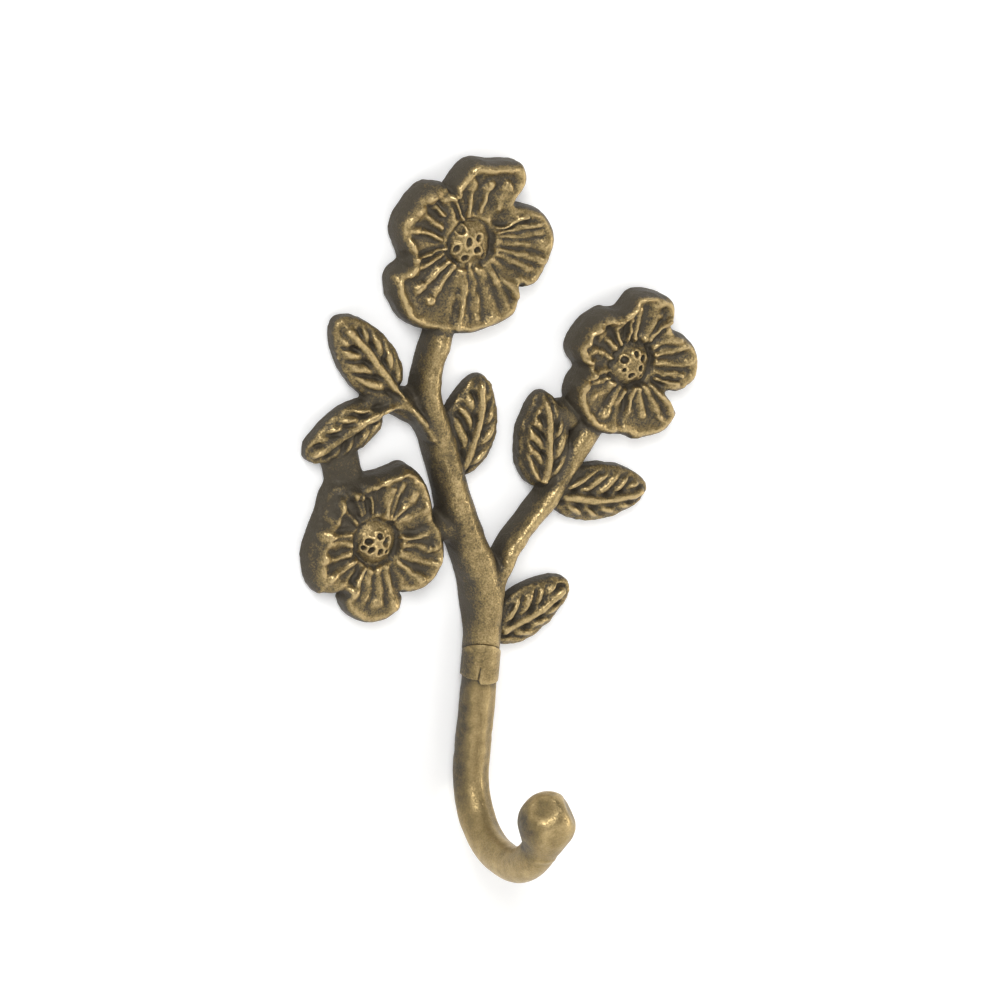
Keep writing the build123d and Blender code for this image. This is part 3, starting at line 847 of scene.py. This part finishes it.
def write_wear_and_shade(piece, field, wear_and_shade):
    """Stores how far the polishing wheel rubbed each point, most on what stands out in front, less the
    dark coat and the painted shade.

    The settings are the width of the finest hollow that keeps its coat (mm); the darkening of what faces
    away from the front (amount, and how far it has to face forward to lose it), which is painted shade on
    the rod and band and partly coat, partly painted shade on the casting's side walls; and the painted
    shade on the left side of the rod and band.
    """
    detail, (amount, low, high), left_shade = wear_and_shade
    stood = mesh_points(piece) / MM
    points = (np.stack([stood[:, 0], stood[:, 2], -stood[:, 1]], 1) - field.low) / field.step
    out = field.slope(points)
    out = out / np.maximum(np.linalg.norm(out, axis=1), 1e-6)[:, None]
    # The wheel's rubbing, by how far each point stands out; the coat and the painted shade are taken off
    # below
    rub_and_shade = WEAR_LEVEL
    for sigma in (detail, WHEEL_REACH):
        full, skip = field.fullness(sigma)
        rub_and_shade = rub_and_shade + WEAR_GAIN * (0.5 - field.sample(full, points / skip))
    x, y = np.clip(points[:, :2].round().astype(int), 0, np.array(field.coat.shape) - 1).T
    height = points[:, 1] * field.step + field.low[1]
    # Coat from the map, plus painted shade on what faces away from the front and on the left side of the
    # rod and band; on the casting's side walls the first is partly real coat
    coat_and_shade = field.coat[x, y] + amount * (1 - smooth_step(low, high, out[:, 2]))
    coat_and_shade = coat_and_shade + left_shade * smooth_step(0.5, 1.0, -out[:, 0]) * smooth_step(*LEFT_SHADE_HEIGHTS, height)
    attribute = piece.data.attributes.new("rub_and_shade", "FLOAT", "POINT")
    attribute.data.foreach_set("value", (rub_and_shade - coat_and_shade).astype(np.float32))


def finish_piece(piece, node, field, wear_and_shade, material):
    """The piece's rubbing, coat and painted shade, smooth shading and material, and its place in the
    frame, inside its CAD box.
    """
    write_wear_and_shade(piece, field, wear_and_shade)
    low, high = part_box(node)
    held = np.clip(mesh_points(piece), np.array(low), np.array(high))
    piece.data.vertices.foreach_set("co", held.astype(np.float32).ravel())
    piece.data.update()
    for polygon in piece.data.polygons:
        polygon.use_smooth = True
    piece.data.materials.append(material)
    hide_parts(node)
    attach(piece, "root")


def add_node(tree, kind, settings=None, links=None):
    """Adds a shader node, sets its values and links its inputs to sockets or to other nodes."""
    node = tree.nodes.new("ShaderNode" + kind)
    for key, value in (settings or {}).items():
        if isinstance(key, str) and hasattr(node, key):
            setattr(node, key, value)
        else:
            node.inputs[key].default_value = value
    for key, source in (links or {}).items():
        tree.links.new(getattr(source, "outputs", [source])[0], node.inputs[key])
    return node


def new_material(name):
    """An empty material, its tree and its output."""
    material = bpy.data.materials.new(name)
    material.use_nodes = True
    material.node_tree.nodes.clear()
    return material, material.node_tree, add_node(material.node_tree, "OutputMaterial")


def antique_brass(name, finish, pores, lift, patches, grit, skin):
    """Brass, dipped dark and rubbed back: the coat stays in the hollows, and the proud parts shine
    through a brown film, so the eye reads every rib as light on dark. The attribute it reads also
    holds painted shade, drawn in the coat's colour on faces turned from the front and on the rod's left
    side."""
    material, tree, output = new_material(name)
    place = add_node(tree, "TexCoord").outputs["Object"]
    rub_and_shade = add_node(tree, "Attribute", {"attribute_name": "rub_and_shade"}).outputs["Fac"]
    patch, grain, pit = (
        add_node(tree, "TexNoise", {"Scale": cells / MM, "Detail": detail, "Roughness": rough},
                 {"Vector": place})
        for cells, detail, rough in (
            (PATCHES_PER_MM, 4.0, 0.6), (GRAINS_PER_MM, 2.0, 0.6), (PITS_PER_MM, 2.0, 0.5)))
    # The wheel's rubbing less the coat and the painted shade, made cloudy by the dip and gritty by the
    # sand, and held back in the pits
    level = lift + 0.3 - 0.5 * patches - 0.5 * grit
    cloudy = add_node(tree, "Math", {"operation": "MULTIPLY_ADD", 1: patches, 2: level}, {0: patch})
    gritty = add_node(tree, "Math", {"operation": "MULTIPLY_ADD", 1: grit}, {0: grain, 2: cloudy})
    rubbed = add_node(tree, "Math", {"operation": "ADD"}, {0: rub_and_shade, 1: gritty})
    unpitted = add_node(tree, "MapRange", {1: 0.40, 2: 0.50, 3: 0.0, 4: 1.0}, {0: pit})
    depth = add_node(tree, "MapRange", {1: 0.35, 2: 0.75, 3: pores, 4: 0.25 * pores}, {0: rub_and_shade})
    below = add_node(tree, "Math", {"operation": "SUBTRACT", 1: 1.0}, {0: unpitted})
    pitted = add_node(tree, "Math", {"operation": "MULTIPLY"}, {0: below, 1: depth})
    wear_and_shade = add_node(tree, "Math", {"operation": "ADD"}, {0: rubbed, 1: pitted})
    # The dark coat colour at the low end also draws the painted shade
    ramp = add_node(tree, "ValToRGB", None, {0: wear_and_shade})
    stops = ramp.color_ramp.elements
    stops[0].position, stops[0].color = 0.30, (*finish.coat, 1)
    stops[1].position, stops[1].color = 0.98, (*finish.bright, 1)
    stops.new(0.62).color = (*finish.worn, 1)
    # The coat is matt and hardly metal, and bare brass is satin
    rough = add_node(tree, "MapRange", {1: 0.3, 2: 1.0, 3: 0.54, 4: 0.34}, {0: wear_and_shade})
    metal = add_node(tree, "MapRange", {1: 0.3, 2: 0.75, 3: 0.45, 4: 1.0}, {0: wear_and_shade})
    height = add_node(tree, "Math", {"operation": "MULTIPLY_ADD", 1: 0.6}, {0: grain, 2: unpitted})
    bumped = add_node(tree, "Bump", {"Strength": skin, "Distance": SKIN_DEPTH * MM}, {"Height": height})
    shader = add_node(tree, "BsdfPrincipled", None, {
        "Base Color": ramp, "Roughness": rough, "Metallic": metal, "Normal": bumped})
    tree.links.new(shader.outputs[0], output.inputs[0])
    return material


def build_casting(sizes, finish):
    """The whole casting as one mesh."""
    field = field_round("flower_branch", 1.6, sizes.grain, floor=-1.35)
    for stations, seed, coat in (
            (MAIN_BRANCH, 11, 0.0), (SIDE_BRANCH, 21, 0.0), (LEAF_TWIG, 31, 0.1),
            (FLOWER_BRIDGE, 41, 0.1), (PETAL_WEB, 51, 0.32), (LEAF_WEB, 55, 0.1)):
        add_limb(field, stations, sizes, seed, coat=coat)
    where = field.window((-7, -23, -1.4), (7, 0, 10.5))
    x, y, z = field.grid(where)
    girth = FOOT_RADIUS + 4 * smooth_step(-15, 0, y)
    field.value[where] = smooth_max(field.value[where], np.hypot(x, z - AXIS_HEIGHT) - girth, 0.6)
    for index, leaf in enumerate(LEAVES):
        add_leaf(field, leaf, sizes, 60 + 2 * index)
    for index, rib in enumerate(LEAF_RIBS):
        add_limb(field, rib, sizes, 74 + 2 * index, 0.7)
    for index, flower in enumerate((TOP_FLOWER, RIGHT_FLOWER, LOWER_FLOWER)):
        add_flower(field, flower, sizes, 80 + 2 * index)
    where = field.window((-7, -23, -1.4), (7, JOINT_Y + FOOT_LENGTH + 6, 10.5))
    x, y, z = field.grid(where)
    girth = ROD_RADIUS - 1.2 * smooth_step(-14, JOINT_Y + FOOT_LENGTH, y)
    field.join(where, bar(x, y, z, JOINT_Y, JOINT_Y + FOOT_LENGTH, girth), 0.8)
    ring = np.maximum(ROD_RADIUS - np.hypot(x, z - AXIS_HEIGHT), y - collar_top(x, z) - 0.2)
    field.cut(where, ring)
    field.cut(where, bar(x, y, z, JOINT_Y - 3, JOINT_Y + SPIGOT_LENGTH, SPIGOT_RADIUS + 0.05))
    field.value[where] = np.maximum(field.value[where], JOINT_Y - y)
    for place in KEYHOLES:
        where = field.window((place[0] - 6, place[1] - 9, -1.4), (place[0] + 6, place[1] + 9, 4.5))
        field.cut(where, keyhole(*field.grid(where), place))
    field.value = np.maximum(field.value, -field.axes[2][None, None, :]).astype(np.float32)
    piece = make_mesh("flower_branch_casting", "flower_branch", field)
    where = field.window((-7, -23, -1.4), (7, JOINT_Y + COLLAR_TOP + 2, 10.5))
    x, y, z = field.grid(where)
    band = np.maximum(np.hypot(x, z - AXIS_HEIGHT) - COLLAR_RADIUS, y - collar_top(x, z))
    field.join(where, band, 0.01)
    # Coat in hollows finer than 0.42 mm; what faces away from the front darkened, partly coat in the side
    # walls and partly painted shade; no painted shade on the left side
    finish_piece(piece, "flower_branch", field, (0.42, (0.42, 0.0, 0.9), 0.0), antique_brass(
        "sand cast brass, dark dipped and rubbed back", finish,
        pores=0.15, lift=0.04, patches=0.3, grit=0.8, skin=0.55))
    return piece


def hook_line():
    """The rod's centreline as distances out from the wall and up it, and the bud's direction."""
    top = np.array((AXIS_HEIGHT, JOINT_Y))
    bottom = top - (0, SHANK_LENGTH)
    turn = np.radians(np.linspace(0, 90, 90))
    centre = bottom + (BEND_RADIUS, 0)
    bend = centre + BEND_RADIUS * np.stack([-np.cos(turn), -np.sin(turn)], 1)
    sole_end = bend[-1] + (SOLE_LENGTH, 0)
    turn = np.radians(np.linspace(0, UPTURN_ANGLE, 84))
    centre = sole_end + (0, BEND_RADIUS)
    upturn = centre + BEND_RADIUS * np.stack([np.sin(turn), -np.cos(turn)], 1)
    line = np.vstack([top, bottom, bend[1:], upturn])
    last = math.radians(UPTURN_ANGLE)
    return line, np.array((math.cos(last), math.sin(last)))


def build_hook(sizes, finish):
    """The bent rod with its filed bud, and the spigot inside the casting's foot."""
    field = field_round("hook", 1.2, sizes.grain)
    where = field.whole()
    x, y, z = field.grid(where)
    line, heading = hook_line()
    plan_z, plan_y = np.meshgrid(field.axes[2], field.axes[1], indexing="ij")
    off, side, along, _ = nearest_on_line(plan_z, plan_y, line)
    off, side, along = (a.T[None, :, :] for a in (off, side, along))
    signed = off * side
    around = np.arctan2(x, signed)
    reach = np.hypot(x, signed)
    shown = ROD_RADIUS - 0.02 + ROD_SWELL * smooth_step(4.0, 7.0, along)
    rod = reach - shown + 0.04 * np.cos(3 * around + along / 12)
    filed = x * math.sin(FILED_TURN) + signed * math.cos(FILED_TURN) - 0.93 * shown
    rod = smooth_max(rod, filed + 0.25 * smooth_step(40, 62, along), 0.25)
    end_z, end_y = line[-1]
    up = (z - end_z) * heading[0] + (y - end_y) * heading[1]
    aside = (y - end_y) * heading[0] - (z - end_z) * heading[1]
    profile = curve_through(BUD_PROFILE, 5)
    radius = np.interp(up, profile[:, 0], profile[:, 1])
    bud = (np.hypot(x, aside) - radius) * 0.88
    bud = np.maximum(bud, np.maximum(up - BUD_CROWN, -BUD_NECK - up))
    for nx, na, nu, depth in BUD_FACETS:
        length = math.sqrt(nx * nx + na * na + nu * nu)
        bud = smooth_max(bud, (nx * x + na * aside + nu * up) / length - depth, 0.5)
    body = smooth_min(rod, bud, 2.0)
    body = np.maximum(body, y - JOINT_Y)
    spigot = bar(x, y, z, JOINT_Y - 2, JOINT_Y + SPIGOT_LENGTH, SPIGOT_RADIUS)
    lumps = 0.015 + 0.03 * smooth_step(-4.0, 1.0, up)
    body = body + 0.05 * ripple(field, where, 4.0, 5) + lumps * ripple(field, where, 1.6, 6)
    field.value = np.minimum(body, spigot).astype(np.float32)
    piece = make_mesh("bent_rod_hook", "hook", field)
    band = np.maximum(np.hypot(x, z - AXIS_HEIGHT) - COLLAR_RADIUS, collar_foot(x) - y)
    field.value = np.minimum(field.value, band).astype(np.float32)
    # Coat in hollows finer than 0.9 mm; painted shade on what faces the wall and on the rod's left side
    finish_piece(piece, "hook", field, (0.9, (0.30, -1.0, -0.4), 0.42), antique_brass(
        "drawn brass rod, filed and thinly browned", finish,
        pores=0.02, lift=0.035, patches=0.45, grit=0.35, skin=0.45))
    return piece


def build_collar(sizes, finish):
    """The band wrapped over the joint, with its arched edge, its seam and a dent."""
    field = field_round("joint_collar", 0.6, COLLAR_GRAIN)
    where = field.whole()
    x, y, z = field.grid(where)
    reach = np.hypot(x, z - AXIS_HEIGHT)
    wavy = 0.07 * ripple(field, where, 2.5, 3)
    outer = reach - COLLAR_RADIUS + 0.04 + 0.3 * wavy
    front = z > AXIS_HEIGHT
    top = collar_top(x, z) + wavy
    foot = collar_foot(x) + wavy
    body = smooth_max(outer, np.maximum(y - top, foot - y), 0.25)
    body = np.maximum(body, ROD_RADIUS + 0.03 - reach)
    beside = x - COLLAR_SEAM - 0.08 * (y - JOINT_Y)
    seam = np.maximum(np.abs(beside) - 0.13, np.maximum(y - JOINT_Y + 0.2, ROD_RADIUS + 0.2 - reach))
    dent = 0.12 * np.exp(-(beside / 0.9) ** 2 - ((y - JOINT_Y - 1.1) / 1.1) ** 2)
    body = np.where(front, body + dent, body)
    cut = np.where(front, seam, 9)
    field.value = np.maximum(body, -cut).astype(np.float32)
    piece = make_mesh("joint_collar_band", "joint_collar", field)
    field.value = np.minimum(field.value, reach - ROD_RADIUS)
    # Coat in hollows finer than 0.6 mm; painted shade on what faces away from the front and on the band's
    # left side
    finish_piece(piece, "joint_collar", field, (0.6, (0.30, -0.8, 0.1), 0.35), antique_brass(
        "cast brass band, brazed and filed", finish,
        pores=0.08, lift=-0.08, patches=0.7, grit=0.6, skin=0.4))
    return piece


def camera_frame():
    """The camera's right, up and backward directions."""
    turn, rise, lean = (math.radians(a) for a in (CAMERA_TURN, CAMERA_RISE, CAMERA_LEAN))
    back = Vector((math.sin(turn) * math.cos(rise), -math.cos(turn) * math.cos(rise), math.sin(rise)))
    level = Vector((math.cos(turn), math.sin(turn), 0))
    plumb = back.cross(level)
    right = math.cos(lean) * level + math.sin(lean) * plumb
    up = -math.sin(lean) * level + math.cos(lean) * plumb
    return right, up, back


def add_camera():
    """The camera at the photograph's viewing angle."""
    right, up, back = camera_frame()
    focal = CAMERA_DISTANCE / MM_PER_PIXEL
    across = (AIM_PIXEL[0] - IMAGE_SIZE / 2) / focal
    rise = (IMAGE_SIZE / 2 - AIM_PIXEL[1]) / focal
    place = Vector(CAMERA_AIM) - CAMERA_DISTANCE * (-back + across * right + rise * up)
    data = bpy.data.cameras.new("camera")
    data.sensor_width = 36.0
    data.lens = focal * data.sensor_width / IMAGE_SIZE
    data.clip_start, data.clip_end = 0.05, 20.0
    camera = bpy.data.objects.new("camera", data)
    camera.matrix_world = Matrix.Translation(place * MM) @ Matrix((right, up, back)).transposed().to_4x4()
    bpy.context.scene.collection.objects.link(camera)
    bpy.context.scene.camera = camera


def add_lamp(name, place, aim, size, watts, tint):
    """A soft light, so wide and so tall."""
    data = bpy.data.lights.new(name, "AREA")
    data.shape = "RECTANGLE"
    data.size, data.size_y = size
    data.energy = watts
    data.color = linear(tint)
    lamp = bpy.data.objects.new(name, data)
    direction = Vector(place) - Vector(aim)
    lamp.matrix_world = Matrix.Translation(place) @ direction.to_track_quat("Z", "Y").to_matrix().to_4x4()
    bpy.context.scene.collection.objects.link(lamp)


def matt_paper(name, tint, glow):
    """Matt white paper, seen only from its front, so that it never hides the back of the hook. Its
    glow lifts it to white where it is looked at or mirrored, and lights nothing."""
    material, tree, output = new_material(name)
    paper = add_node(tree, "BsdfDiffuse", {"Color": (*linear(tint), 1)})
    path = add_node(tree, "LightPath").outputs
    seen = path["Is Camera Ray"]
    for mirrored in ("Is Glossy Ray", "Is Transmission Ray"):
        seen = add_node(tree, "Math", {"operation": "MAXIMUM"}, {0: seen, 1: path[mirrored]})
    white = add_node(tree, "Emission", {"Color": (1, 1, 1, 1), "Strength": glow})
    lifted = add_node(tree, "MixShader", None, {0: seen, 2: white})
    sheet = add_node(tree, "AddShader", None, {0: paper, 1: lifted})
    clear = add_node(tree, "BsdfTransparent")
    behind = add_node(tree, "NewGeometry").outputs["Backfacing"]
    mixed = add_node(tree, "MixShader", None, {0: behind, 1: sheet, 2: clear})
    tree.links.new(mixed.outputs[0], output.inputs[0])
    return material


def add_sheet(name, corners, material):
    """A flat sheet of the backdrop."""
    mesh = bpy.data.meshes.new(name)
    mesh.from_pydata(corners, [], [(0, 1, 2, 3)])
    sheet = bpy.data.objects.new(name, mesh)
    sheet.data.materials.append(material)
    bpy.context.scene.collection.objects.link(sheet)


def build_stage():
    """White wall and floor, an even pale room, soft lamps and the camera."""
    paper = matt_paper("matt white wall paper", "#FBFBFB", 0.18)
    wide, behind, floor, front, tall = 1.2, 0.0008, -0.20, -1.2, 0.9
    low = (-wide, behind, floor), (wide, behind, floor)
    add_sheet("wall", [*low, (wide, behind, tall), (-wide, behind, tall)], paper)
    add_sheet("floor", [(-wide, front, floor), (wide, front, floor), *low[::-1]], paper)
    scene = bpy.context.scene
    scene.world = bpy.data.worlds.new("pale room")
    scene.world.use_nodes = True
    tree = scene.world.node_tree
    tree.nodes.clear()
    room = add_node(tree, "Background", {"Color": (*linear("#FFFFFF"), 1), "Strength": 0.12})
    add_node(tree, "OutputWorld", None, {0: room})
    aim = (0.0, 0.0, 0.02)
    add_lamp("upper left", (-0.55, -0.90, 0.75), aim, (0.6, 0.6), 11.6, "#FFFFFF")
    add_lamp("right strip", (0.95, -0.55, 0.05), aim, (0.18, 0.9), 4.4, "#FFFAF0")
    add_lamp("front fill", (0.60, -1.00, -0.20), aim, (0.8, 0.8), 2.4, "#FFFFFF")
    add_camera()
    scene.view_settings.view_transform = "Standard"


class WALLHOOK_OT_stage(bpy.types.Operator):
    """Adds the white wall, the floor, the lamps and the camera"""

    bl_idname = "wallhook.stage"
    bl_label = "Stage"

    def execute(self, context):
        build_stage()
        return {"FINISHED"}


class WALLHOOK_OT_casting(bpy.types.Operator):
    """Adds the cast branch with its flowers and leaves"""

    bl_idname = "wallhook.casting"
    bl_label = "Cast branch"

    def execute(self, context):
        build_casting(*settings(context))
        return {"FINISHED"}


class WALLHOOK_OT_hook(bpy.types.Operator):
    """Adds the bent rod hook with its bud"""

    bl_idname = "wallhook.hook"
    bl_label = "Rod hook"

    def execute(self, context):
        build_hook(*settings(context))
        return {"FINISHED"}


class WALLHOOK_OT_collar(bpy.types.Operator):
    """Adds the band over the joint"""

    bl_idname = "wallhook.collar"
    bl_label = "Joint band"

    def execute(self, context):
        build_collar(*settings(context))
        return {"FINISHED"}


class WALLHOOK_PT_panel(bpy.types.Panel):
    """Sizes, colours and buttons of the wall hook"""

    bl_label = "Wall Hook"
    bl_space_type = "VIEW_3D"
    bl_region_type = "UI"
    bl_category = "Wall Hook"

    def draw(self, context):
        sizes, finish = context.scene.wallhook_sizes, context.scene.wallhook_finish
        for key in ("grain", "trough", "draft", "ripple"):
            self.layout.prop(sizes, key)
        for key in ("bright", "worn", "coat"):
            self.layout.prop(finish, key)
        for operator in OPERATORS:
            self.layout.operator(operator.bl_idname)


OPERATORS = (WALLHOOK_OT_stage, WALLHOOK_OT_casting, WALLHOOK_OT_hook, WALLHOOK_OT_collar)
CLASSES = (WallHookSizes, WallHookFinish, *OPERATORS, WALLHOOK_PT_panel)


def register():
    for cls in CLASSES:
        bpy.utils.register_class(cls)
    bpy.types.Scene.wallhook_sizes = PointerProperty(type=WallHookSizes)
    bpy.types.Scene.wallhook_finish = PointerProperty(type=WallHookFinish)


def unregister():
    del bpy.types.Scene.wallhook_finish
    del bpy.types.Scene.wallhook_sizes
    for cls in reversed(CLASSES):
        bpy.utils.unregister_class(cls)


def main():
    """Builds everything."""
    register()
    bpy.ops.wallhook.stage()
    bpy.ops.wallhook.casting()
    bpy.ops.wallhook.hook()
    bpy.ops.wallhook.collar()


if __name__ == "__main__":
    main()
